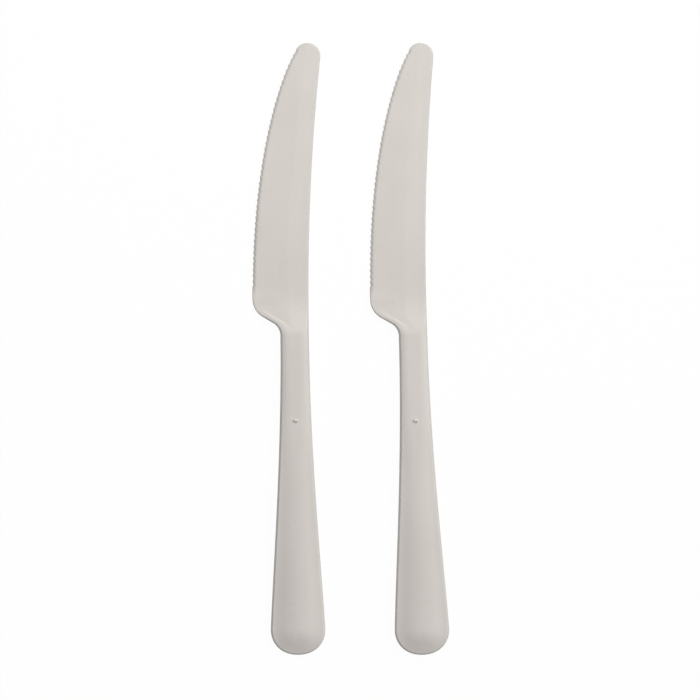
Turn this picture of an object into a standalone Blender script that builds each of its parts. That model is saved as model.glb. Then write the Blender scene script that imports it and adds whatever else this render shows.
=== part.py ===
"""Two disposable table knives of moulded bioplastic, lying side by side with their tips up +Y.

Each knife is one injection moulding of even wall: a handle like a shallow upturned trough with a
domed crown, a narrow neck, a short ramp, and a flat blade with a saw edge on its left and a blunt
spine on its right. Lengths are in metres. A knife is drawn in its own frame, with the middle of the
handle's round end at the origin, the tip up +Y and the table at Z = 0.
"""
import math

import bmesh
import bpy
import numpy as np
from mathutils import Vector

# Outline of the handle
HANDLE_WIDTH = 0.01605
HANDLE_END_DEPTH = 0.0076
HANDLE_END_FULLNESS = 2.16
HANDLE_LENGTH = 0.0940
HANDLE_TAPER = 0.051
TAPER_RUN = 0.021
NECK_WIDTH = 0.0084
NECK_RUN = 0.035

# Outline of the blade
KNIFE_LENGTH = 0.180
HEEL_REACH = 0.0123
HEEL_ANGLE = math.radians(31)
HEEL_FILLET = 0.0043
HEEL_ROUND = 0.0063
EDGE_RUN = 0.0418
EDGE_TIP_RUN = 0.0079
EDGE_TIP_ANGLE = math.radians(34)
SPINE_RADIUS = 0.651
SPINE_STRAIGHT = 0.0073
TIP_RADIUS = 0.0038
TIP_JOIN_ANGLE = math.radians(150)

# Section of the handle, the neck and the ramp
WALL = 0.0016
WALL_DRAFT = math.tan(math.radians(8))
EDGE_CHAMFER = 0.0003
RIM_LAND = 0.0014
RIM_HEIGHT = 0.00225
RIM_SLOPE = math.tan(math.radians(3))
END_RIM_HEIGHT = 0.0016
END_RIM_SLOPE = math.tan(math.radians(15.6))
NECK_RIM_HEIGHT = 0.0031
NECK_RIM_SLOPE = math.tan(math.radians(16))
CROWN_HEIGHT = 0.0034
END_REACH = 0.0078
STEEPEST_SHARE = 0.37
NECK_FLAT = 0.0016
FLAT_RUN_OUT = 0.30
SHOULDER_RUN_OUT = 0.0035
RAMP_ROUND = 0.0020
RAMP_STRAIGHT = 0.0025
RAMP_FOOT = 0.0075
HEEL_LEAD = 0.45
TROUGH_RUN_OUT = 0.0080

# Section of the blade
CREST_HEIGHT = 0.0015
CREST_SHARE = 0.62
CREST_FADE_LENGTH = 0.020
LIP_HEIGHT = 0.0008
BEVEL_WIDTH = 0.0006
BEVEL_HEIGHT = 0.0012
SPINE_HEIGHT = 0.0014
LEDGE_WIDTH = 0.0013

# Saw edge and moulding gate
SERRATION_PITCH = 0.0017
SERRATION_DEPTH = 0.00025
SERRATION_SETBACK = 0.0035
TOOTH_LAND = 0.00003
COMB_MARGIN = 0.0030
GATE_FROM_NECK = 0.0251
GATE_FOOT_WIDTH = 0.0014
GATE_FOOT_LENGTH = 0.0013
GATE_RIDGE_WIDTH = 0.0010
GATE_RIDGE_LENGTH = 0.00035
GATE_HEIGHT = 0.0006

# Where the two knives lie
KNIFE_SPACING = 0.0366
LEFT_TURN = math.radians(0.66)
RIGHT_TURN = math.radians(1.74)

# Fineness of the mesh
END_ROWS = 9
HANDLE_ROWS = 12
HEEL_ROWS = 14
BLADE_ROWS = 17
TIP_ROWS = 7
INNER_RINGS = (0.22, 0.46, 0.72, 1.0)
RIM_RINGS = 3
CURVE_POINTS = 240
SCALLOP_POINTS = 4
GATE_SIDES = 10

PLASTIC_COLOUR = (0.64, 0.60, 0.565, 1.0)
PLASTIC_ROUGHNESS = 0.60


def clear_scene():
    for item in list(bpy.data.objects):
        bpy.data.objects.remove(item, do_unlink=True)


def ease(share):
    """Smooth step from 0 to 1."""
    share = np.clip(share, 0.0, 1.0)
    return share * share * (3 - 2 * share)


def mix(low, high, share):
    return low + (high - low) * share


def bezier(points):
    """Points along one cubic curve from its four control points."""
    start, first, second, end = (np.array(point) for point in points)
    t = np.linspace(0, 1, CURVE_POINTS)[:, None]
    return (1 - t) ** 3 * start + 3 * (1 - t) ** 2 * t * first + 3 * (1 - t) * t**2 * second + t**3 * end


def arc(centre, radius, first_angle, last_angle):
    angles = np.linspace(first_angle, last_angle, CURVE_POINTS)
    return np.column_stack([centre[0] + radius * np.cos(angles), centre[1] + radius * np.sin(angles)])


def spine_centre():
    """The spine runs straight on from the neck and then bends outwards round this point."""
    return NECK_WIDTH / 2 + SPINE_RADIUS, HANDLE_LENGTH + SPINE_STRAIGHT


def tip_centre():
    """The tip's arc touches the spine's arc from outside it."""
    spine_x, spine_y = spine_centre()
    y = KNIFE_LENGTH - TIP_RADIUS
    x = spine_x - math.sqrt((SPINE_RADIUS + TIP_RADIUS) ** 2 - (y - spine_y) ** 2)
    return x, y


def handle_side():
    """Right side of the handle: half of the round end, then a long taper into the neck."""
    half = HANDLE_WIDTH / 2
    neck = NECK_WIDTH / 2
    turn = np.linspace(0, math.pi / 2, CURVE_POINTS)
    power = 2 / HANDLE_END_FULLNESS
    end = np.column_stack([half * np.sin(turn) ** power, HANDLE_END_DEPTH * (1 - np.cos(turn) ** power)])
    taper = bezier([
        (half, HANDLE_END_DEPTH),
        (half - HANDLE_TAPER * TAPER_RUN, HANDLE_END_DEPTH + TAPER_RUN),
        (neck, HANDLE_LENGTH - NECK_RUN),
        (neck, HANDLE_LENGTH),
    ])
    return np.vstack([end, taper])


def right_side():
    """Handle, hollow spine and the tip's right quarter, from the handle's end up."""
    lean = math.asin((tip_centre()[1] - spine_centre()[1]) / (SPINE_RADIUS + TIP_RADIUS))
    spine = arc(spine_centre(), SPINE_RADIUS, math.pi, math.pi - lean)
    quarter = arc(tip_centre(), TIP_RADIUS, -lean, math.pi / 2)
    return np.vstack([handle_side(), spine, quarter])


def heel():
    """Left of the neck: a fillet, a slope out to the heel, and the heel's rounded corner."""
    neck = -NECK_WIDTH / 2
    out = np.array([-math.cos(HEEL_ANGLE), math.sin(HEEL_ANGLE)])
    turn = math.pi / 2 - HEEL_ANGLE
    fillet_run = HEEL_FILLET * math.tan(turn / 2)
    inner = np.array([neck, HANDLE_LENGTH + fillet_run])
    outer = inner + out * (HEEL_REACH + neck) / math.cos(HEEL_ANGLE)
    round_run = HEEL_ROUND * math.tan(turn / 2)
    fillet = arc((neck - HEEL_FILLET, HANDLE_LENGTH), HEEL_FILLET, 0, turn)
    corner_centre = (-HEEL_REACH + HEEL_ROUND, outer[1] + round_run)
    corner = arc(corner_centre, HEEL_ROUND, math.pi + turn, math.pi)
    return np.vstack([fillet, corner])


def cutting_edge():
    """The smooth line that the points of the teeth lie on, from the heel up to the tip's arc."""
    start = heel()[-1]
    tip = np.array(tip_centre())
    end = tip + TIP_RADIUS * np.array([math.cos(TIP_JOIN_ANGLE), math.sin(TIP_JOIN_ANGLE)])
    back = np.array([-math.sin(EDGE_TIP_ANGLE), -math.cos(EDGE_TIP_ANGLE)])
    return bezier([start, start + (0, EDGE_RUN), end + EDGE_TIP_RUN * back, end])


def left_side():
    handle = handle_side() * (-1, 1)
    quarter = arc(tip_centre(), TIP_RADIUS, TIP_JOIN_ANGLE, math.pi / 2)
    return np.vstack([handle, heel(), cutting_edge(), quarter])


def stations():
    """Distances from the handle's end at which the outline has a point on each side."""
    heel_top = heel()[-1][1]
    tip_y = tip_centre()[1]
    end_turn = np.linspace(0, math.pi / 2, END_ROWS)
    tip_turn = np.linspace(0, math.pi / 2, TIP_ROWS)
    rows = [
        HANDLE_END_DEPTH * (1 - np.cos(end_turn) ** (2 / HANDLE_END_FULLNESS)),
        np.linspace(HANDLE_END_DEPTH, HANDLE_LENGTH, HANDLE_ROWS)[1:],
        np.linspace(HANDLE_LENGTH, heel_top, HEEL_ROWS)[1:],
        np.linspace(heel_top, tip_y, BLADE_ROWS)[1:],
        tip_y + TIP_RADIUS * np.sin(tip_turn[1:]),
    ]
    return np.concatenate(rows)


class Outline:
    """The closed outline seen from above, with the point that each part of it is built towards."""

    def __init__(self):
        self.left = left_side()
        self.right = right_side()
        self.tip_y = tip_centre()[1]
        self.heel_top = heel()[-1][1]

    def side_x(self, y, side):
        path = self.right if side > 0 else self.left
        return float(np.interp(y, path[:, 1], path[:, 0]))

    def middle(self, y):
        """The handle's centre line, which runs on as the blade's crest and ends in the tip."""
        y = min(max(y, HANDLE_END_DEPTH), self.tip_y)
        share = mix(0.5, CREST_SHARE, ease((y - HANDLE_LENGTH) / (self.heel_top - HANDLE_LENGTH)))
        share = mix(0.5, share, ease((self.tip_y - y) / CREST_FADE_LENGTH))
        return np.array([mix(self.side_x(y, -1), self.side_x(y, 1), share), y])

    def crest_height(self, y):
        """The blade is thickest along its crest, which sinks to the level of the spine at the tip."""
        return mix(SPINE_HEIGHT, CREST_HEIGHT, ease((self.tip_y - y) / CREST_FADE_LENGTH))

    def loop(self):
        """Points counter-clockwise from the handle's end, each as (place, side)."""
        rows = stations()
        up = [(np.array([self.side_x(y, 1), y]), 1) for y in rows]
        down = [(np.array([self.side_x(y, -1), y]), -1) for y in rows[-2:0:-1]]
        return up + down


def ramp_share(past_neck):
    """1 on the neck and 0 on the blade: round at its top, then straight, with a long hollow foot."""
    top = np.clip(past_neck, 0, RAMP_ROUND)
    straight = np.clip(past_neck - RAMP_ROUND, 0, RAMP_STRAIGHT)
    foot = np.clip(past_neck - RAMP_ROUND - RAMP_STRAIGHT, 0, RAMP_FOOT)
    drop = top**2 / (2 * RAMP_ROUND) + straight + foot - foot**2 / (2 * RAMP_FOOT)
    return 1 - drop / (RAMP_ROUND / 2 + RAMP_STRAIGHT + RAMP_FOOT / 2)


def ring_distances(border, length):
    """Distances in from the outline: the wall, the top of its chamfer, the border, on to the middle."""
    return np.array([0.0, EDGE_CHAMFER, border] + [mix(border, length, share) for share in INNER_RINGS])


def crown(distances, reach, rim_height, rim_slope):
    """Heights in from the rim: the slope grows to the steepest place, and then fades out."""
    run = reach - EDGE_CHAMFER
    steepest = 2 * (CROWN_HEIGHT - rim_height) / run - rim_slope * STEEPEST_SHARE
    share = np.clip((distances - EDGE_CHAMFER) / run, 0.0, 1.0)
    below = np.minimum(share, STEEPEST_SHARE)
    above = share - below
    rise = rim_slope * below + (steepest - rim_slope) * below**2 / (2 * STEEPEST_SHARE)
    return rim_height + run * (rise + steepest * (above - above**2 / (2 * (1 - STEEPEST_SHARE))))


def handle_rings(point, length, shoulder):
    """Distances and top heights of the handle's section, and of the neck's where it narrows."""
    half = min(length, HANDLE_WIDTH / 2)
    fullness = np.clip((2 * half - NECK_WIDTH) / (HANDLE_WIDTH - NECK_WIDTH), 0.0, 1.0)
    domed = ease(fullness / FLAT_RUN_OUT)
    reach = half - NECK_FLAT * (1 - domed)
    rim_slope = mix(NECK_RIM_SLOPE, RIM_SLOPE, domed)
    rim_height = mix(NECK_RIM_HEIGHT, RIM_HEIGHT, fullness)
    if point[1] < HANDLE_END_DEPTH:
        off_centre = (point[0] / (HANDLE_WIDTH / 2)) ** 2
        reach = mix(END_REACH, reach, off_centre)
        rim_slope = mix(END_RIM_SLOPE, rim_slope, off_centre)
        rim_height = mix(END_RIM_HEIGHT, rim_height, off_centre)
    distances = ring_distances(RIM_LAND, length)
    heights = crown(distances, reach, mix(CROWN_HEIGHT, rim_height, shoulder), rim_slope * shoulder)
    heights[0] -= EDGE_CHAMFER
    return distances, heights


def blade_rings(length, crest, plain_edge):
    """The same for the blade, where plain_edge is 0 on the bevelled saw edge and 1 on the spine."""
    distances = ring_distances(mix(BEVEL_WIDTH, LEDGE_WIDTH, plain_edge), length)
    cutting = np.interp(distances, [0, BEVEL_WIDTH, length], [LIP_HEIGHT, BEVEL_HEIGHT, crest])
    spine = mix(SPINE_HEIGHT, crest, ease((distances - LEDGE_WIDTH) / (length - LEDGE_WIDTH)))
    spine[0] -= EDGE_CHAMFER
    return distances, mix(cutting, spine, plain_edge)


def section(outline, point, side):
    """Ring places on the top of the knife and under it, from the outline in to the middle line."""
    middle = outline.middle(point[1])
    length = float(np.linalg.norm(middle - point))
    inward = (middle - point) / length
    plain_edge = 1.0 if side > 0 else ease(1 - (point[1] - outline.heel_top) / SERRATION_SETBACK)
    if point[1] > outline.tip_y:
        plain_edge = min(max(1 + (point[0] - middle[0]) / TIP_RADIUS, 0.0), 1.0)
    past_neck = max(point[1] - HANDLE_LENGTH, 0.0)
    handle = handle_rings(point, length, ease(1 - past_neck / SHOULDER_RUN_OUT))
    blade = blade_rings(length, outline.crest_height(point[1]), plain_edge)
    heel_lead = 0.0 if side > 0 else HEEL_LEAD * (1 - handle[0] / length)
    ramp = ramp_share(past_neck * (1 + heel_lead))
    distances = mix(blade[0], handle[0], ramp)
    heights = mix(blade[1], handle[1], ramp)
    depths = np.maximum(heights - WALL, 0.0) * ease(1 - past_neck / TROUGH_RUN_OUT)
    depths[:RIM_RINGS] = 0.0
    under = [Vector((*(point + inward * distance), depth)) for distance, depth in zip(distances, depths)]
    border = distances[RIM_RINGS - 1]
    distances += WALL_DRAFT * heights[0] * np.maximum(1 - distances / border, 0.0)
    top = [Vector((*(point + inward * distance), height)) for distance, height in zip(distances, heights)]
    return top, under


def next_ring(bm, ring, places):
    """Extrudes a closed ring of vertices and sets the new ring on the places given."""
    edges = [bm.edges.get(pair) for pair in zip(ring, ring[1:] + ring[:1])]
    made = set(bmesh.ops.extrude_edge_only(bm, edges=edges)["geom"])
    new_ring = []
    for vert, place in zip(ring, places):
        neighbours = [edge.other_vert(vert) for edge in vert.link_edges]
        new_vert = next(neighbour for neighbour in neighbours if neighbour in made)
        new_vert.co = place
        new_ring.append(new_vert)
    return new_ring


def moulding_blank():
    """The whole knife before its saw edge, as rings drawn in from the outline above and below."""
    outline = Outline()
    sections = [section(outline, point, side) for point, side in outline.loop()]
    bm = bmesh.new()
    tops, unders = (list(zip(*rings)) for rings in zip(*sections))
    start = [bm.verts.new(place) for place in unders[0]]
    for pair in zip(start, start[1:] + start[:1]):
        bm.edges.new(pair)
    ring = start
    for places in tops:
        ring = next_ring(bm, ring, places)
    ring = start
    for places in unders[RIM_RINGS - 1:]:
        ring = next_ring(bm, ring, places)
    bmesh.ops.remove_doubles(bm, verts=bm.verts, dist=1e-6)
    bmesh.ops.triangulate(bm, faces=bm.faces)
    bmesh.ops.recalc_face_normals(bm, faces=bm.faces)
    return bm


def serration_comb():
    """Cutter for the saw edge: a strip beside the blade whose inner side is a row of scallops."""
    path = cutting_edge()
    steps = np.linalg.norm(np.diff(path, axis=0), axis=1)
    along = np.concatenate([[0], np.cumsum(steps)])
    teeth = round((along[-1] - SERRATION_SETBACK) / SERRATION_PITCH)
    wanted = np.linspace(SERRATION_SETBACK, along[-1], teeth * SCALLOP_POINTS + 1)
    line = np.column_stack([np.interp(wanted, along, path[:, axis]) for axis in (0, 1)])
    tangent = np.gradient(line, axis=0)
    inward = np.column_stack([tangent[:, 1], -tangent[:, 0]])
    inward /= np.linalg.norm(inward, axis=1)[:, None]
    share = (np.arange(len(line)) % SCALLOP_POINTS) / SCALLOP_POINTS
    depth = SERRATION_DEPTH * 4 * share * (1 - share) - TOOTH_LAND
    scallops = line + inward * depth[:, None]
    outside = (line - inward * COMB_MARGIN)[::-1]
    bm = bmesh.new()
    verts = [bm.verts.new((*place, -WALL)) for place in np.vstack([scallops, outside])]
    face = bm.faces.new(verts)
    lifted = bmesh.ops.extrude_face_region(bm, geom=[face])["geom"]
    top = [item for item in lifted if isinstance(item, bmesh.types.BMVert)]
    bmesh.ops.translate(bm, verts=top, vec=(0, 0, WALL + CROWN_HEIGHT))
    bmesh.ops.recalc_face_normals(bm, faces=bm.faces)
    return bm


def gate_nub():
    """The oval stub where the sprue broke off, tapered to a ridge, from half a wall below the crown."""
    depth = GATE_HEIGHT + WALL / 2
    share = depth / GATE_HEIGHT
    buried_width = mix(GATE_RIDGE_WIDTH, GATE_FOOT_WIDTH, share)
    buried_length = mix(GATE_RIDGE_LENGTH, GATE_FOOT_LENGTH, share)
    middle = Vector((0, HANDLE_LENGTH - GATE_FROM_NECK, CROWN_HEIGHT + GATE_HEIGHT - depth / 2))
    bm = bmesh.new()
    bmesh.ops.create_cone(bm, cap_ends=True, segments=GATE_SIDES, radius1=0.5, radius2=0.5, depth=depth)
    for vert in bm.verts:
        on_ridge = vert.co.z > 0
        vert.co.x *= GATE_RIDGE_WIDTH if on_ridge else buried_width
        vert.co.y *= GATE_RIDGE_LENGTH if on_ridge else buried_length
        vert.co += middle
    return bm


def new_object(name, bm):
    mesh = bpy.data.meshes.new(name)
    bm.to_mesh(mesh)
    bm.free()
    item = bpy.data.objects.new(name, mesh)
    bpy.context.scene.collection.objects.link(item)
    return item


def knife_mesh():
    """One moulding, with its saw edge cut and its gate nub joined on."""
    blank = new_object("blank", moulding_blank())
    tools = [(new_object("comb", serration_comb()), "DIFFERENCE"), (new_object("nub", gate_nub()), "UNION")]
    for tool, operation in tools:
        boolean = blank.modifiers.new(tool.name, "BOOLEAN")
        boolean.operation = operation
        boolean.solver = "MANIFOLD"
        boolean.object = tool
    evaluated = blank.evaluated_get(bpy.context.evaluated_depsgraph_get())
    mesh = bpy.data.meshes.new_from_object(evaluated)
    mesh.name = "knife"
    clear_scene()
    mesh.materials.clear()
    mesh.materials.append(moulded_bioplastic())
    mesh.shade_smooth()
    mesh.set_sharp_from_angle(angle=math.radians(30))
    return mesh


def moulded_bioplastic():
    material = bpy.data.materials.new("moulded_bioplastic")
    material.use_nodes = True
    shader = material.node_tree.nodes["Principled BSDF"]
    shader.inputs["Base Color"].default_value = PLASTIC_COLOUR
    shader.inputs["Roughness"].default_value = PLASTIC_ROUGHNESS
    shader.inputs["Metallic"].default_value = 0.0
    return material


def lay_knives(mesh):
    """Places both knives with the middle of the pair's outline at the origin."""
    outline = np.array([point for point, side in Outline().loop()])
    places = {"knife_left": (0.0, LEFT_TURN), "knife_right": (KNIFE_SPACING, RIGHT_TURN)}
    corners = []
    for x, turn in places.values():
        spin = np.array([[math.cos(turn), math.sin(turn)], [-math.sin(turn), math.cos(turn)]])
        turned = outline @ spin + (x, 0.0)
        corners += [turned.min(axis=0), turned.max(axis=0)]
    middle = (np.min(corners, axis=0) + np.max(corners, axis=0)) / 2
    for name, (x, turn) in places.items():
        knife = bpy.data.objects.new(name, mesh)
        knife.location = (x - middle[0], -middle[1], 0.0)
        knife.rotation_euler.z = turn
        bpy.context.scene.collection.objects.link(knife)


clear_scene()
lay_knives(knife_mesh())
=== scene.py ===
"""Looks of two disposable table knives in off-white moulded bioplastic, lying side by side.

Both come from one mould. The moulding is modelled in the mould's own frame, with the middle of the
handle's round end at the origin, the tip up +Y and the table at Z = 0, and is then laid twice where
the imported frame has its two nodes. Lengths are in metres.
"""

import math

import bmesh
import bpy
import numpy as np
from mathutils import Matrix, Vector


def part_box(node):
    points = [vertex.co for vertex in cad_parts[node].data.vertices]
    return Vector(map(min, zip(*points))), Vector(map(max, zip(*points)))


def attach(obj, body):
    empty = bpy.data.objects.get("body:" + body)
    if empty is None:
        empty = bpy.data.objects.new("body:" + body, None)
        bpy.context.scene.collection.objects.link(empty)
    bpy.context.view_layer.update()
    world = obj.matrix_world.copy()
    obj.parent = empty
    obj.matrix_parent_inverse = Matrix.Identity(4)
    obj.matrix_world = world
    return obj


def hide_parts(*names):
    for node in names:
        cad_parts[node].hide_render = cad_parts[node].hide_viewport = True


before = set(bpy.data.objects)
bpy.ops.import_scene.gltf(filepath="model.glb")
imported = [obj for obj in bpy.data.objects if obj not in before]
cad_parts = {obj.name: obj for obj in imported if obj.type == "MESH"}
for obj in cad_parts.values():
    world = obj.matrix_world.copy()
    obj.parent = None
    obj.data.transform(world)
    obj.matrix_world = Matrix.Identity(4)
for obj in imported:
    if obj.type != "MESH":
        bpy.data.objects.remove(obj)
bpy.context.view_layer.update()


# The outline of the knife is the parting line of its mould, where the two halves of the tool met:
# a round handle end, a long taper into the neck, a sloping heel, a bellied cutting edge, a round
# tip and a slightly hollow spine.
HANDLE_WIDTH = 0.01605
HANDLE_END_DEPTH = 0.0076
HANDLE_END_FULLNESS = 2.16
HANDLE_LENGTH = 0.0940
HANDLE_TAPER = 0.051
TAPER_RUN = 0.021
NECK_WIDTH = 0.0084
NECK_RUN = 0.035
KNIFE_LENGTH = 0.180
HEEL_REACH = 0.0123
HEEL_ANGLE = math.radians(31)
HEEL_FILLET = 0.0043
HEEL_ROUND = 0.0063
EDGE_RUN = 0.0418
EDGE_TIP_RUN = 0.0079
EDGE_TIP_ANGLE = math.radians(34)
SPINE_RADIUS = 0.651
SPINE_STRAIGHT = 0.0073
TIP_RADIUS = 0.0038
TIP_JOIN_ANGLE = math.radians(150)
CURVE_POINTS = 400


def bezier(points):
    """Points along one cubic curve from its four control points."""
    start, first, second, end = (np.array(point) for point in points)
    t = np.linspace(0, 1, CURVE_POINTS)[:, None]
    return (1 - t) ** 3 * start + 3 * (1 - t) ** 2 * t * first + 3 * (1 - t) * t**2 * second + t**3 * end


def arc(centre, radius, first_angle, last_angle):
    angles = np.linspace(first_angle, last_angle, CURVE_POINTS)
    return np.column_stack([centre[0] + radius * np.cos(angles), centre[1] + radius * np.sin(angles)])


def handle_side():
    """Right side of the handle: half of its round end, then the taper into the neck."""
    half, neck = HANDLE_WIDTH / 2, NECK_WIDTH / 2
    turn = np.linspace(0, math.pi / 2, CURVE_POINTS)
    power = 2 / HANDLE_END_FULLNESS
    end = np.column_stack([half * np.sin(turn) ** power, HANDLE_END_DEPTH * (1 - np.cos(turn) ** power)])
    taper = bezier([
        (half, HANDLE_END_DEPTH),
        (half - HANDLE_TAPER * TAPER_RUN, HANDLE_END_DEPTH + TAPER_RUN),
        (neck, HANDLE_LENGTH - NECK_RUN),
        (neck, HANDLE_LENGTH),
    ])
    return np.vstack([end, taper])


def heel_side():
    """Left of the neck: a fillet, a slope out to the heel, and the heel's rounded corner."""
    neck = -NECK_WIDTH / 2
    turn = math.pi / 2 - HEEL_ANGLE
    slope_foot = np.array([neck, HANDLE_LENGTH + HEEL_FILLET * math.tan(turn / 2)])
    slope_rise = (HEEL_REACH + neck) * math.tan(HEEL_ANGLE)
    corner_y = slope_foot[1] + slope_rise + HEEL_ROUND * math.tan(turn / 2)
    fillet = arc((neck - HEEL_FILLET, HANDLE_LENGTH), HEEL_FILLET, 0, turn)
    corner = arc((HEEL_ROUND - HEEL_REACH, corner_y), HEEL_ROUND, math.pi + turn, math.pi)
    return np.vstack([fillet, corner])


spine_centre = np.array([NECK_WIDTH / 2 + SPINE_RADIUS, HANDLE_LENGTH + SPINE_STRAIGHT])
tip_y = KNIFE_LENGTH - TIP_RADIUS
spine_lean = math.asin((tip_y - spine_centre[1]) / (SPINE_RADIUS + TIP_RADIUS))
tip_centre = np.array([spine_centre[0] - (SPINE_RADIUS + TIP_RADIUS) * math.cos(spine_lean), tip_y])
heel_top = heel_side()[-1]
edge_end = tip_centre + TIP_RADIUS * np.array([math.cos(TIP_JOIN_ANGLE), math.sin(TIP_JOIN_ANGLE)])
cutting_edge = bezier([
    heel_top,
    heel_top + (0, EDGE_RUN),
    edge_end - EDGE_TIP_RUN * np.array([math.sin(EDGE_TIP_ANGLE), math.cos(EDGE_TIP_ANGLE)]),
    edge_end,
])
right_side = np.vstack([
    handle_side(),
    arc(spine_centre, SPINE_RADIUS, math.pi, math.pi - spine_lean),
    arc(tip_centre, TIP_RADIUS, -spine_lean, math.pi / 2),
])
left_side = np.vstack([
    handle_side() * (-1, 1),
    heel_side(),
    cutting_edge,
    arc(tip_centre, TIP_RADIUS, TIP_JOIN_ANGLE, math.pi / 2),
])


# The saw edge is cut into the mould, so its teeth come out with the knife: a row of shallow
# scallops with a point between each two, from just past the heel to the tip. Each scallop runs a
# little way over the bevel as a flute, and fades out on the blade's face.
TOOTH_PITCH = 0.0017
TOOTH_DEPTH = 0.00025
TOOTH_SETBACK = 0.0035
TOOTH_POINTS = 8
FLUTE_LENGTH = 0.0013

edge_steps = np.linalg.norm(np.diff(cutting_edge, axis=0), axis=1)
edge_length = np.concatenate([[0], np.cumsum(edge_steps)])
teeth = round((edge_length[-1] - TOOTH_SETBACK) / TOOTH_PITCH)
tooth_rows = np.interp(np.linspace(TOOTH_SETBACK, edge_length[-1], teeth * TOOTH_POINTS + 1),
                       edge_length, cutting_edge[:, 1])


def scallop_depth(y):
    """How far in the saw edge is cut at each place along the knife: one parabola a tooth."""
    tooth = np.interp(y, tooth_rows, np.arange(len(tooth_rows)) / TOOTH_POINTS, left=0, right=teeth)
    return TOOTH_DEPTH * 4 * (tooth % 1) * (1 - tooth % 1)


# Handle and neck are moulded as a shallow trough of even wall that lies hollow side down. A drafted
# side wall rounds over into the rim, and the crown rises from there to the centre line. Towards the
# neck the side walls grow taller and the crown becomes a flat strip.
WALL = 0.0016
RIM_HEIGHT = 0.00225
END_RIM_HEIGHT = 0.0016
NECK_RIM_HEIGHT = 0.0031
RIM_SLOPE = math.tan(math.radians(3))
END_RIM_SLOPE = math.tan(math.radians(15.6))
NECK_RIM_SLOPE = math.tan(math.radians(16))
RIM_ROUND = 0.0004
WALL_DRAFT = math.tan(math.radians(8))
CROWN_HEIGHT = 0.0034
END_REACH = 0.0078
STEEPEST_SHARE = 0.37
NECK_FLAT = 0.0016
FLAT_RUN_OUT = 0.30
SHOULDER_RUN_OUT = 0.0035
RIM_LAND = 0.0014
TROUGH_EDGE = 0.0007


def crown(distance, reach, rim_height, rim_slope):
    """Height past the rim's round edge: on the handle the slope grows to its steepest, then fades."""
    run = reach - RIM_ROUND
    steepest = 2 * (CROWN_HEIGHT - rim_height) / run - rim_slope * STEEPEST_SHARE
    share = np.clip((distance - RIM_ROUND) / run, 0.0, 1.0)
    below = np.minimum(share, STEEPEST_SHARE)
    above = share - below
    rise = rim_slope * below + (steepest - rim_slope) * below**2 / (2 * STEEPEST_SHARE)
    return rim_height + run * (rise + steepest * (above - above**2 / (2 * (1 - STEEPEST_SHARE))))


# The blade is solid and flat underneath. Its top climbs from the thin cutting edge over a short
# steep bevel, and then very gently to a low crest past the middle, and falls again to a narrow level
# ledge along the spine. The neck runs down onto it in a ramp as wide as the blade.
CREST_HEIGHT = 0.0015
CREST_SHARE = 0.62
CREST_FADE = 0.020
LIP_HEIGHT = 0.0008
LIP_ROUND = 0.0001
BEVEL_WIDTH = 0.0006
BEVEL_HEIGHT = 0.0012
SPINE_HEIGHT = 0.0014
SPINE_ROUND = 0.00008
LEDGE_WIDTH = 0.0013
RAMP_ROUND = 0.0020
RAMP_STRAIGHT = 0.0025
RAMP_FOOT = 0.0075
HEEL_LEAD = 0.45
TROUGH_RUN_OUT = 0.0080
BORDER_WIDTH = 0.0018
SQUARE_RUN = 0.0036
FOOT_ROUND = 0.00012
ROUND_TURNS = np.radians([0, 22.5, 45, 67.5, 90])
BORDER_SHARES = np.array([0.2, 0.4, 0.65, 1.0])
INNER_SHARES = np.array([0.1, 0.22, 0.36, 0.5, 0.64, 0.78, 0.9, 1.0])
UNDER_FROM_RING = len(ROUND_TURNS) + 1
MERGE_DISTANCE = 0.000001


def ease(share):
    """Smooth step from 0 to 1."""
    share = np.clip(share, 0.0, 1.0)
    return share * share * (3 - 2 * share)


def mix(low, high, share):
    return low + (high - low) * share


def side_x(y, path):
    return np.interp(y, path[:, 1], path[:, 0])


def middle_line(y):
    """Where the two sides meet: the handle's centre line, then the blade's crest, up to the tip."""
    y = np.clip(y, HANDLE_END_DEPTH, tip_y)
    share = mix(0.5, CREST_SHARE, ease((y - HANDLE_LENGTH) / (heel_top[1] - HANDLE_LENGTH)))
    share = mix(0.5, share, ease((tip_y - y) / CREST_FADE))
    return np.array([mix(side_x(y, left_side), side_x(y, right_side), share), y])


def ring_distances(round_over, length):
    """Distances in from the outline: over the rounded edge, across the border, on to the middle."""
    over = round_over * (1 - np.cos(ROUND_TURNS))
    border = mix(round_over, BORDER_WIDTH, BORDER_SHARES)
    return np.concatenate([over, border, mix(BORDER_WIDTH, length, INNER_SHARES)])


def ring_heights(height, round_over, surface):
    """Heights of the same rings, where surface gives those past the rounded edge."""
    return np.concatenate([height - round_over * (1 - np.sin(ROUND_TURNS)), surface])


def ramp_share(past_neck):
    """1 on the neck and 0 on the blade: round at its top, then straight, with a long hollow foot."""
    top = np.clip(past_neck, 0, RAMP_ROUND)
    straight = np.clip(past_neck - RAMP_ROUND, 0, RAMP_STRAIGHT)
    foot = np.clip(past_neck - RAMP_ROUND - RAMP_STRAIGHT, 0, RAMP_FOOT)
    drop = top**2 / (2 * RAMP_ROUND) + straight + foot - foot**2 / (2 * RAMP_FOOT)
    return 1 - drop / (RAMP_ROUND / 2 + RAMP_STRAIGHT + RAMP_FOOT / 2)


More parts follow.
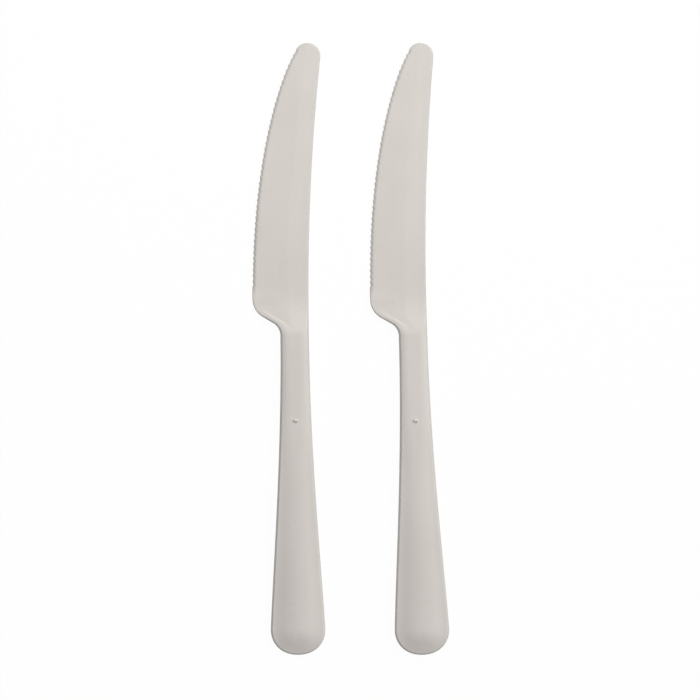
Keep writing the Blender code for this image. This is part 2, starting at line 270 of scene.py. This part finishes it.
def handle_section(point, length, shoulder):
    """Ring distances and heights across one side of the handle, or of the neck where it is narrow."""
    half = min(length, HANDLE_WIDTH / 2)
    fullness = np.clip((2 * half - NECK_WIDTH) / (HANDLE_WIDTH - NECK_WIDTH), 0.0, 1.0)
    domed = ease(fullness / FLAT_RUN_OUT)
    reach = half - NECK_FLAT * (1 - domed)
    rim_slope = mix(NECK_RIM_SLOPE, RIM_SLOPE, domed)
    rim_height = mix(NECK_RIM_HEIGHT, RIM_HEIGHT, fullness)
    if point[1] < HANDLE_END_DEPTH:
        off_centre = (point[0] / (HANDLE_WIDTH / 2)) ** 2
        reach = mix(END_REACH, reach, off_centre)
        rim_slope = mix(END_RIM_SLOPE, rim_slope, off_centre)
        rim_height = mix(END_RIM_HEIGHT, rim_height, off_centre)
    rim_height = mix(CROWN_HEIGHT, rim_height, shoulder)
    distances = ring_distances(RIM_ROUND, length)
    surface = crown(distances[len(ROUND_TURNS):], reach, rim_height, rim_slope * shoulder)
    return distances, ring_heights(rim_height, RIM_ROUND, surface)


def cutting_section(length, crest):
    """The same across the bevelled side of the blade."""
    distances = ring_distances(LIP_ROUND, length)
    past = distances[len(ROUND_TURNS):]
    climb = np.interp(past, [LIP_ROUND, BEVEL_WIDTH, length], [LIP_HEIGHT, BEVEL_HEIGHT, crest])
    return distances, ring_heights(LIP_HEIGHT, LIP_ROUND, climb)


def spine_section(length, crest):
    """The same across the spine's side of the blade."""
    distances = ring_distances(SPINE_ROUND, length)
    past = distances[len(ROUND_TURNS):]
    face = (crest - SPINE_HEIGHT) * ease((past - LEDGE_WIDTH) / (length - LEDGE_WIDTH))
    return distances, ring_heights(SPINE_HEIGHT, SPINE_ROUND, SPINE_HEIGHT + face)


def section(point, inward, on_right):
    """Ring places from the foot of the side wall over the top, and from the foot in underneath."""
    middle = middle_line(point[1])
    length = np.linalg.norm(middle - point)
    crest = mix(SPINE_HEIGHT, CREST_HEIGHT, ease((tip_y - point[1]) / CREST_FADE))
    plain_edge = 1.0 if on_right else ease(1 - (point[1] - heel_top[1]) / TOOTH_SETBACK)
    if point[1] > tip_y:  # round the tip the bevel fades out, from its left corner to its middle
        plain_edge = np.clip(1 + (point[0] - middle[0]) / TIP_RADIUS, 0.0, 1.0)
    past_neck = max(point[1] - HANDLE_LENGTH, 0.0)
    # On the heel's side the ramp comes down sooner towards the edge.
    heel_lead = 0.0 if on_right else HEEL_LEAD * (1 - ring_distances(RIM_ROUND, length) / length)
    ramp = ramp_share(past_neck * (1 + heel_lead))
    sections = zip(handle_section(point, length, ease(1 - past_neck / SHOULDER_RUN_OUT)),
                   cutting_section(length, crest), spine_section(length, crest))
    distances, heights = (mix(mix(cutting, plain, plain_edge), handle, ramp)
                          for handle, cutting, plain in sections)
    # The drafted wall leans in, so its rim lies a little further in than its foot.
    distances += WALL_DRAFT * heights[len(ROUND_TURNS)] * (1 - np.clip(distances / BORDER_WIDTH, 0, 1))
    bite = 0.0 if on_right else scallop_depth(point[1])

    def place(distance):
        """Square in from the outline at first, and then straight towards the middle."""
        square = point + inward * (distance + bite * (1 - ease(distance / FLUTE_LENGTH)))
        return mix(square, mix(point, middle, distance / length), ease(distance / SQUARE_RUN))

    top = [Vector((*place(0.0), FOOT_ROUND))]
    top += [Vector((*place(distance), height)) for distance, height in zip(distances, heights)]
    trough = np.maximum(heights - WALL, 0.0) * ease((distances - RIM_LAND) / TROUGH_EDGE)
    trough *= ease(1 - past_neck / TROUGH_RUN_OUT)
    under = [Vector((*place(FOOT_ROUND), 0.0))]
    under += [Vector((*place(distance), depth))
              for distance, depth in zip(distances[UNDER_FROM_RING:], trough[UNDER_FROM_RING:])]
    return top, under


# Rows of points up the outline, closest together where it bends.
END_ROWS = 20
HANDLE_ROWS = 46
HEEL_ROWS = 52
TIP_ROWS = 16


def knife_rows():
    """Distances up the knife at which its outline has a point on each side."""
    end_turn = np.linspace(0, math.pi / 2, END_ROWS)
    tip_turn = np.linspace(math.pi - TIP_JOIN_ANGLE, math.pi / 2, TIP_ROWS)
    return np.concatenate([
        HANDLE_END_DEPTH * (1 - np.cos(end_turn) ** (2 / HANDLE_END_FULLNESS)),
        np.linspace(HANDLE_END_DEPTH, HANDLE_LENGTH, HANDLE_ROWS)[1:],
        np.linspace(HANDLE_LENGTH, heel_top[1], HEEL_ROWS)[1:],
        np.linspace(heel_top[1], tooth_rows[0], TOOTH_POINTS)[1:],
        tooth_rows[1:],
        tip_y + TIP_RADIUS * np.sin(tip_turn[1:]),
    ])


def outline_points():
    """The closed outline, counter-clockwise from the handle's end, and which points are on the right."""
    rows = knife_rows()
    right = np.column_stack([side_x(rows, right_side), rows])
    left = np.column_stack([side_x(rows, left_side), rows])[-2:0:-1]
    return np.vstack([right, left]), np.arange(len(right) + len(left)) < len(right)


def extrude_ring(bm, ring, places):
    """Extrudes a closed ring of vertices and sets the new ring on the places given."""
    edges = [bm.edges.get(pair) for pair in zip(ring, ring[1:] + ring[:1])]
    made = set(bmesh.ops.extrude_edge_only(bm, edges=edges)["geom"])
    new_ring = []
    for vert, place in zip(ring, places):
        neighbours = [edge.other_vert(vert) for edge in vert.link_edges]
        new_vert = next(neighbour for neighbour in neighbours if neighbour in made)
        new_vert.co = place
        new_ring.append(new_vert)
    return new_ring


def moulding():
    """The whole knife as rings drawn in from the outline, over the top and underneath."""
    points, on_right = outline_points()
    along = np.roll(points, -1, axis=0) - np.roll(points, 1, axis=0)
    inward = np.column_stack([-along[:, 1], along[:, 0]])
    inward /= np.linalg.norm(inward, axis=1)[:, None]
    sections = [section(*spoke) for spoke in zip(points, inward, on_right)]
    tops, unders = (list(zip(*rings)) for rings in zip(*sections))
    bm = bmesh.new()
    start = [bm.verts.new(place) for place in unders[0]]
    for pair in zip(start, start[1:] + start[:1]):
        bm.edges.new(pair)
    for rings in (tops, unders[1:]):
        ring = start
        for places in rings:
            ring = extrude_ring(bm, ring, places)
    bmesh.ops.remove_doubles(bm, verts=bm.verts, dist=MERGE_DISTANCE)
    bmesh.ops.recalc_face_normals(bm, faces=bm.faces)
    return bm


# The gate is the slot across the handle that the plastic was injected through. The sprue broke off
# there and left a blunt stub on the crown, like a low roof. It is part of the same moulding.
GATE_FROM_NECK = 0.0251
GATE_FOOT = (0.0014, 0.0013)
GATE_RIDGE = (0.0010, 0.00035)
GATE_HEIGHT = 0.0006
GATE_SIDES = 24
GATE_ROUND = 0.00006
GATE_ROUND_STEPS = 2
UNIT_RADIUS = 0.5
SHARP_ANGLE = math.radians(50)
gate_place = Vector((0, HANDLE_LENGTH - GATE_FROM_NECK, CROWN_HEIGHT))


def gate_stub():
    """A tapered oval stub, which widens on down to half a wall below the crown."""
    depth = GATE_HEIGHT + WALL / 2
    buried = [mix(ridge, foot, depth / GATE_HEIGHT) for ridge, foot in zip(GATE_RIDGE, GATE_FOOT)]
    bm = bmesh.new()
    lift = Matrix.Translation((0, 0, GATE_HEIGHT - depth / 2))
    bmesh.ops.create_cone(bm, cap_ends=True, segments=GATE_SIDES, radius1=UNIT_RADIUS,
                          radius2=UNIT_RADIUS, depth=depth, matrix=lift)
    top = max(bm.faces, key=lambda face: face.calc_center_median().z)
    for vert in bm.verts:
        width, length = GATE_RIDGE if vert in top.verts else buried
        vert.co = gate_place + Vector((vert.co.x * width, vert.co.y * length, vert.co.z))
    bmesh.ops.bevel(bm, geom=list(top.edges), offset=GATE_ROUND, segments=GATE_ROUND_STEPS,
                    affect="EDGES", profile=0.5, material=-1)
    top = max(bm.faces, key=lambda face: face.calc_center_median().z)
    bmesh.ops.inset_region(bm, faces=[top], thickness=GATE_ROUND, depth=-GATE_ROUND / 2)
    bmesh.ops.poke(bm, faces=[top], offset=-GATE_ROUND / 2)
    bmesh.ops.recalc_face_normals(bm, faces=bm.faces)
    return bm


def fix_order(items, place):
    """Sorts vertices or faces by where they are, because the union leaves their order to chance."""
    for index, item in enumerate(sorted(items, key=place)):
        item.index = index
    items.sort()


def crease_gate_foot(bm):
    """Keeps the stub's foot crisp, so that its shading does not spread over the crown."""
    for edge in bm.edges:
        if all((vert.co - gate_place).length < max(GATE_FOOT) and vert.co.z < CROWN_HEIGHT + GATE_ROUND
               for vert in edge.verts):
            edge.smooth = False


def new_object(name, bm):
    mesh = bpy.data.meshes.new(name)
    bm.to_mesh(mesh)
    bm.free()
    item = bpy.data.objects.new(name, mesh)
    bpy.context.scene.collection.objects.link(item)
    return item


def joined_moulding():
    """The knife with its gate stub, as one closed mesh."""
    knife = new_object("moulding", moulding())
    stub = new_object("stub", gate_stub())
    union = knife.modifiers.new("stub", "BOOLEAN")
    union.operation = "UNION"
    union.solver = "MANIFOLD"
    union.object = stub
    evaluated = knife.evaluated_get(bpy.context.evaluated_depsgraph_get())
    mesh = bpy.data.meshes.new_from_object(evaluated)
    for tool in (knife, stub):
        bpy.data.objects.remove(tool, do_unlink=True)
    mesh.materials.clear()
    mesh.shade_smooth()
    mesh.set_sharp_from_angle(angle=SHARP_ANGLE)
    bm = bmesh.new()
    bm.from_mesh(mesh)
    fix_order(bm.verts, lambda vert: vert.co[:])
    fix_order(bm.faces, lambda face: face.calc_center_median()[:])
    crease_gate_foot(bm)
    bm.to_mesh(mesh)
    bm.free()
    place = mesh.attributes.new("mould_place", "FLOAT_VECTOR", "POINT")
    corners = np.zeros(len(mesh.vertices) * 3, np.float32)
    mesh.vertices.foreach_get("co", corners)
    place.data.foreach_set("vector", corners)
    return mesh


# The plastic is a compostable one, opaque and off-white with a slight grey-brown cast. The mould's
# fine satin finish is on every face, with faint clouding and a few specks in the colour, streaks
# along the flow away from the gate, and a dull pale halo where the hot plastic came in.
PLASTIC_PALE = (0.655, 0.617, 0.580, 1.0)
PLASTIC_DEEP = (0.628, 0.589, 0.552, 1.0)
SPECK_COLOUR = (0.50, 0.455, 0.41, 1.0)
CLOUD_SIZE = 0.016
CLOUD_DETAIL = 3.0
CLOUD_TONE = 0.75
CLOUD_DULLNESS = 0.10
CLOUD_MEAN = 0.5
STREAK_WIDTH = 0.0012
STREAK_LENGTH = 0.030
STREAK_TONE = 0.25
HALO_RADIUS = 0.0035
HALO_CORE = HALO_RADIUS / 3
HALO_TONE = 0.12
HALO_DULLNESS = 0.05
TONE_RANGE = (0.3, 0.7)
SPECK_SIZE = 0.0005
SPECK_RANGE = (0.72, 0.80)
SPECK_STRENGTH = 0.25
GRAIN_SIZE = 0.00028
GRAIN_DEPTH = 0.000006
RIPPLE_SIZE = 0.009
RIPPLE_DEPTH = 0.00002
SATIN_ROUGHNESS = 0.62
PLASTIC_IOR = 1.46


class Shade:
    """A socket of a material's node tree. Sums and products of it add Math nodes."""

    def __init__(self, tree, socket=None):
        self.tree = tree
        self.socket = socket

    def node(self, kind, settings=None, sockets=None, output=0):
        """Any other node: its settings are set first, then its sockets' values or links."""
        made = self.tree.nodes.new(kind)
        for name, value in (settings or {}).items():
            setattr(made, name, value)
        for name, value in (sockets or {}).items():
            if isinstance(value, Shade):
                self.tree.links.new(value.socket, made.inputs[name])
            else:
                made.inputs[name].default_value = value
        return Shade(self.tree, made.outputs[output])

    def math(self, operation, first, second):
        return self.node("ShaderNodeMath", {"operation": operation}, {0: first, 1: second})

    def __add__(self, other):
        return self.math("ADD", self, other)

    def __sub__(self, other):
        return self.math("SUBTRACT", self, other)

    def __rsub__(self, other):
        return self.math("SUBTRACT", other, self)

    def __mul__(self, other):
        return self.math("MULTIPLY", self, other)

    __radd__ = __add__
    __rmul__ = __mul__

    def smooth(self, low, high):
        """Eases from 0 at low to 1 at high."""
        return self.node("ShaderNodeMapRange", {"interpolation_type": "SMOOTHSTEP"},
                         {"Value": self, "From Min": low, "From Max": high})

    def noise(self, place, size, detail=2.0):
        return self.node("ShaderNodeTexNoise", {}, {"Vector": place, "Scale": 1 / size, "Detail": detail})

    def blend(self, share, first, second):
        """A colour between two others, through the colour sockets of a Mix node."""
        return self.node("ShaderNodeMix", {"data_type": "RGBA"}, {0: share, 6: first, 7: second}, 2)

    def to(self, shader, name):
        self.tree.links.new(self.socket, shader.inputs[name])


def moulded_bioplastic():
    material = bpy.data.materials.new("moulded_bioplastic")
    material.use_nodes = True
    shader = material.node_tree.nodes["Principled BSDF"]
    shade = Shade(material.node_tree)
    place = shade.node("ShaderNodeTexCoord", output="Object")
    mould = shade.node("ShaderNodeAttribute", {"attribute_name": "mould_place"}, output="Vector")
    stretched = shade.node("ShaderNodeMapping", {},
                           {"Vector": place, "Scale": (1.0, STREAK_WIDTH / STREAK_LENGTH, 1.0)})
    cloud = shade.noise(place, CLOUD_SIZE, CLOUD_DETAIL)
    streak = shade.noise(stretched, STREAK_WIDTH)
    gate_distance = shade.node("ShaderNodeVectorMath", {"operation": "DISTANCE"},
                               {0: mould, 1: gate_place}, "Value")
    halo = 1 - gate_distance.smooth(HALO_CORE, HALO_RADIUS)
    speck = shade.noise(place, SPECK_SIZE, 0.0).smooth(*SPECK_RANGE)

    tone = cloud * CLOUD_TONE + streak * STREAK_TONE + halo * HALO_TONE
    colour = shade.blend(tone.smooth(*TONE_RANGE), PLASTIC_DEEP, PLASTIC_PALE)
    shade.blend(speck * SPECK_STRENGTH, colour, SPECK_COLOUR).to(shader, "Base Color")
    roughness = SATIN_ROUGHNESS + (cloud - CLOUD_MEAN) * CLOUD_DULLNESS + halo * HALO_DULLNESS
    roughness.to(shader, "Roughness")

    grain = shade.noise(place, GRAIN_SIZE, 1.0)
    ripple = shade.noise(place, RIPPLE_SIZE, 1.0)
    relief = grain * GRAIN_DEPTH + ripple * RIPPLE_DEPTH
    bump = shade.node("ShaderNodeBump", {}, {"Height": relief, "Distance": 1.0, "Strength": 1.0})
    bump.to(shader, "Normal")
    shader.inputs["IOR"].default_value = PLASTIC_IOR
    return material


# The two knives lie loose on the table, hollow sides down and tips the same way, turned by about a
# degree against each other. Each stands for the CAD solid of its name, and is set on its box.
KNIFE_TURNS = {"knife_left": math.radians(0.66), "knife_right": math.radians(1.74)}

plastic = moulded_bioplastic()
knife_mesh = joined_moulding()
knife_mesh.materials.append(plastic)
for node, turn in KNIFE_TURNS.items():
    mesh = knife_mesh.copy()
    mesh.name = node + "_moulding"
    mesh.transform(Matrix.Rotation(turn, 4, "Z"))
    corners = np.array([vert.co for vert in mesh.vertices])
    low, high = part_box(node)
    shift = (low + high) / 2 - Vector((corners.min(axis=0) + corners.max(axis=0)) / 2)
    mesh.transform(Matrix.Translation((shift.x, shift.y, 0)))
    knife = bpy.data.objects.new(node + "_moulding", mesh)
    bpy.context.scene.collection.objects.link(knife)
    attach(knife, "root")
    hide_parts(node)
bpy.data.meshes.remove(knife_mesh)


# The table is a plain sheet of white card. The camera sees it white, with a faint trace of the
# knives' shadow, and it throws rather less light back up at them than it seems to.
CARD_SIZE = 6.0
CARD_SEEN = (0.92, 0.92, 0.92, 1.0)
CARD_BOUNCE = (0.60, 0.60, 0.60, 1.0)
CARD_WHITENESS = 0.96
CARD_DROP = 0.00005


def seen_directly(shade):
    """1 for rays that see a surface or its mirror image, 0 for those that gather light from it."""
    camera, glossy, through = (shade.node("ShaderNodeLightPath", output=name) for name in
                               ("Is Camera Ray", "Is Glossy Ray", "Is Transmission Ray"))
    return shade.math("MINIMUM", camera + glossy + through, 1.0)


def white_card():
    material = bpy.data.materials.new("white_card")
    material.use_nodes = True
    tree = material.node_tree
    shade = Shade(tree)
    tree.nodes.remove(tree.nodes["Principled BSDF"])
    seen, bounce = (shade.node("ShaderNodeBsdfDiffuse", {}, {"Color": colour})
                    for colour in (CARD_SEEN, CARD_BOUNCE))
    white = shade.node("ShaderNodeEmission", {}, {"Color": (1.0, 1.0, 1.0, 1.0), "Strength": 1.0})
    bright = shade.node("ShaderNodeMixShader", {}, {0: CARD_WHITENESS, 1: seen, 2: white})
    card = shade.node("ShaderNodeMixShader", {}, {0: seen_directly(shade), 1: bounce, 2: bright})
    card.to(tree.nodes["Material Output"], "Surface")
    return material


sheet = bmesh.new()
bmesh.ops.create_grid(sheet, x_segments=1, y_segments=1, size=CARD_SIZE / 2,
                      matrix=Matrix.Translation((0, 0, -CARD_DROP)))
table = new_object("table_card", sheet)
table.data.materials.append(white_card())


# Two large softboxes light the knives inside a dim white tent. The nearer is over the table beyond
# the tips, so that the knives grow a little darker towards their handles. The other stands far off
# to the right, and casts the knives' faint shadow close on their left.
TENT_LEVEL = 0.30
SOFTBOXES = {
    "top_softbox": {"place": Vector((0.02, 0.30, 0.36)), "size": 0.32, "power": 1.05},
    "right_softbox": {"place": Vector((1.88, 0.62, 1.53)), "size": 1.0, "power": 32.4},
}

world = bpy.data.worlds.new("light_tent")
world.use_nodes = True
bpy.context.scene.world = world
background = world.node_tree.nodes["Background"]
background.inputs["Color"].default_value = (1.0, 1.0, 1.0, 1.0)
sky = Shade(world.node_tree)
(TENT_LEVEL + seen_directly(sky) * (1 - TENT_LEVEL)).to(background, "Strength")

for name, box in SOFTBOXES.items():
    softbox = bpy.data.objects.new(name, bpy.data.lights.new(name, "AREA"))
    softbox.data.size = box["size"]
    softbox.data.energy = box["power"]
    softbox.location = box["place"]
    softbox.rotation_euler = (-box["place"]).to_track_quat("-Z", "Y").to_euler()
    softbox.visible_camera = False
    bpy.context.scene.collection.objects.link(softbox)


# The camera looks straight down through a long lens. The picture is square, and its scale is that
# at which the knives are 180 mm long.
PICTURE_PIXELS = 700
PIXEL_SIZE = 0.0002943
PAIR_MIDDLE_PIXEL = (350.8, 348.85)
CAMERA_HEIGHT = 2.0
SENSOR_WIDTH_MM = 36.0

camera = bpy.data.objects.new("camera", bpy.data.cameras.new("camera"))
camera.data.sensor_width = SENSOR_WIDTH_MM
camera.data.lens = SENSOR_WIDTH_MM * CAMERA_HEIGHT / (PICTURE_PIXELS * PIXEL_SIZE)
camera.data.clip_end = 3 * CAMERA_HEIGHT
camera.location = ((PICTURE_PIXELS / 2 - PAIR_MIDDLE_PIXEL[0]) * PIXEL_SIZE,
                   (PAIR_MIDDLE_PIXEL[1] - PICTURE_PIXELS / 2) * PIXEL_SIZE, CAMERA_HEIGHT)
bpy.context.scene.collection.objects.link(camera)
bpy.context.scene.camera = camera
bpy.context.scene.view_settings.view_transform = "Standard"
